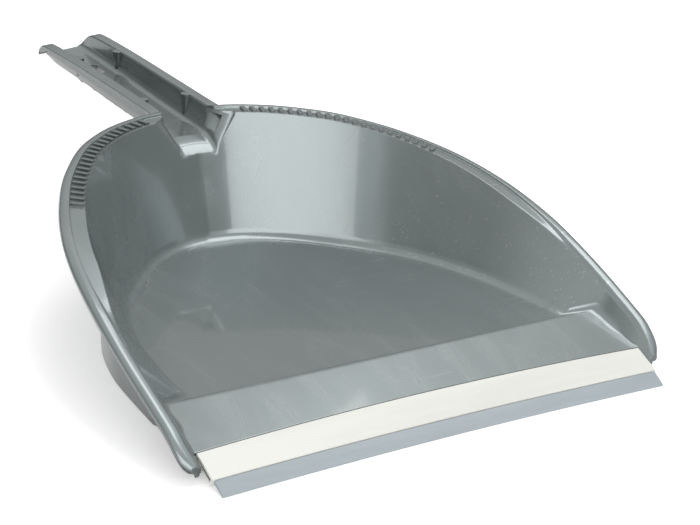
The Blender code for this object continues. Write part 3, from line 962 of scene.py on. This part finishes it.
def area_light(name, place_at, size, power):
    """A rectangular lamp that points at the middle of the pan."""
    lamp = bpy.data.lights.new(name, "AREA")
    lamp.shape, lamp.size, lamp.size_y = "RECTANGLE", size[0], size[1]
    lamp.energy = power
    obj = bpy.data.objects.new(name, lamp)
    bpy.context.scene.collection.objects.link(obj)
    obj.location = place_at
    obj.rotation_mode = "QUATERNION"
    obj.rotation_quaternion = (Vector(AIM) - Vector(place_at)).to_track_quat("-Z", "Y")


def camera():
    """Three-quarter view from the front left, a little above, rolled slightly."""
    turn, rise, roll = CAMERA_TURN, CAMERA_RISE, CAMERA_ROLL
    back = Vector((sin(turn) * cos(rise), -cos(turn) * cos(rise), sin(rise)))
    side = Vector((cos(turn), sin(turn), 0.0))
    up = back.cross(side)
    x_axis = side * cos(roll) + up * sin(roll)
    y_axis = up * cos(roll) - side * sin(roll)
    data = bpy.data.cameras.new("camera")
    data.sensor_width, data.lens = SENSOR, LENS
    data.clip_start, data.clip_end = CLIP_NEAR, CLIP_FAR
    obj = bpy.data.objects.new("camera", data)
    bpy.context.scene.collection.objects.link(obj)
    turned = Matrix((x_axis, y_axis, back)).transposed().to_4x4()
    turned.translation = Vector(CAMERA_AT)
    obj.matrix_world = turned
    bpy.context.scene.camera = obj


def studio_floor():
    """White ground that glows a little, so that it stays pale in the pan's shadow."""
    bm = bmesh.new()
    bmesh.ops.create_grid(bm, x_segments=1, y_segments=1, size=STUDIO_HALF)
    floor = from_bmesh("studio_floor", bm, bpy.context.scene.collection)
    floor.location.z = STUDIO_Z
    mat, tree, shader = shader_tree("studio_white")
    tone = ramp(tree, noise(tree, position(tree), 3.0), ((0.3, grey(0.90)), (0.7, grey(0.91))))
    link(tree, tone, shader, 0, "Base Color")
    shader.inputs["Roughness"].default_value = 0.9
    shader.inputs["Emission Color"].default_value = (1.0, 1.0, 1.0, 1.0)
    shader.inputs["Emission Strength"].default_value = STUDIO_GLOW
    floor.data.materials.append(mat)


def studio_world():
    """Dark grey at the horizon, white overhead."""
    world = bpy.data.worlds.new("studio")
    world.use_nodes = True
    bpy.context.scene.world = world
    tree = world.node_tree
    shade = tree.nodes["Background"]
    part = node(tree, "ShaderNodeSeparateXYZ")
    link(tree, node(tree, "ShaderNodeTexCoord"), part, "Generated", 0)
    sky = ramp(tree, part, [(at, grey(value)) for at, value in SKY], "Z")
    link(tree, sky, shade, 0, "Color")
    shade.inputs["Strength"].default_value = SKY_STRENGTH


def studio():
    """Ground, sky and two lamps."""
    studio_floor()
    studio_world()
    area_light("key", KEY_AT, KEY_SIZE, KEY_POWER)
    area_light("top", TOP_AT, TOP_SIZE, TOP_POWER)
    bpy.context.scene.view_settings.view_transform = "Standard"


# ---------------------------------------------------------------- whole pan

def finished_bowl(tools):
    """The wall with the channel's mouth cut from it, then the plates and teeth joined."""
    wall = bowl_wall(tools)
    boolean(wall, [notch_cutter(tools)], "DIFFERENCE")
    apply_modifiers(wall)
    plates = [floor_plate(tools), across("ramp", ramp_section, RAMP_HALF, tools),
              across("nose", nose_section, NOSE_HALF, tools)]
    boolean(wall, plates + teeth(tools), "UNION")
    apply_modifiers(wall)
    return wall


def finished_handle(tools):
    """The handle kept clear of the bowl and its mouth, ribs joined, slot cut last."""
    handle = handle_body(tools)
    boolean(handle, [bowl_space(tools)], "DIFFERENCE")
    apply_modifiers(handle)
    boolean(handle, [notch_cutter(tools, HANDLE_CLEAR)], "DIFFERENCE")
    boolean(handle, snap_ribs(tools) + grip_ribs(tools), "UNION")
    boolean(handle, [hang_hole(tools)], "DIFFERENCE")
    apply_modifiers(handle)
    return handle


def main():
    """Draw the three pieces, tie them to their CAD nodes and the moulding and clip to the pan's
    body, and light them.
    """
    group = bpy.data.collections.new("drawing")
    bpy.context.scene.collection.children.link(group)
    tools = bpy.data.collections.new("cutters")
    bpy.context.scene.collection.children.link(tools)

    moulding = gather("moulding", [finished_bowl(tools), finished_handle(tools)], tools)
    strip, blade = lip_strip(tools), lip_blade(tools)
    strip.name, blade.name = "clip_strip", "soft_blade"
    for obj in (moulding, strip, blade):
        tools.objects.unlink(obj)
        group.objects.link(obj)
    settle(moulding, "pan_moulding", pan_material())
    settle(strip, "lip_strip", strip_material())
    settle(blade, "lip_blade", blade_material())
    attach(moulding, "pan")
    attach(strip, "pan")
    rear = on_strip(0.0, BLADE_FROM, BLADE_MIDDLE)
    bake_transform(blade)
    for obj in list(tools.objects):
        bpy.data.objects.remove(obj, do_unlink=True)
    bpy.data.collections.remove(tools)

    studio()
    camera()


main()
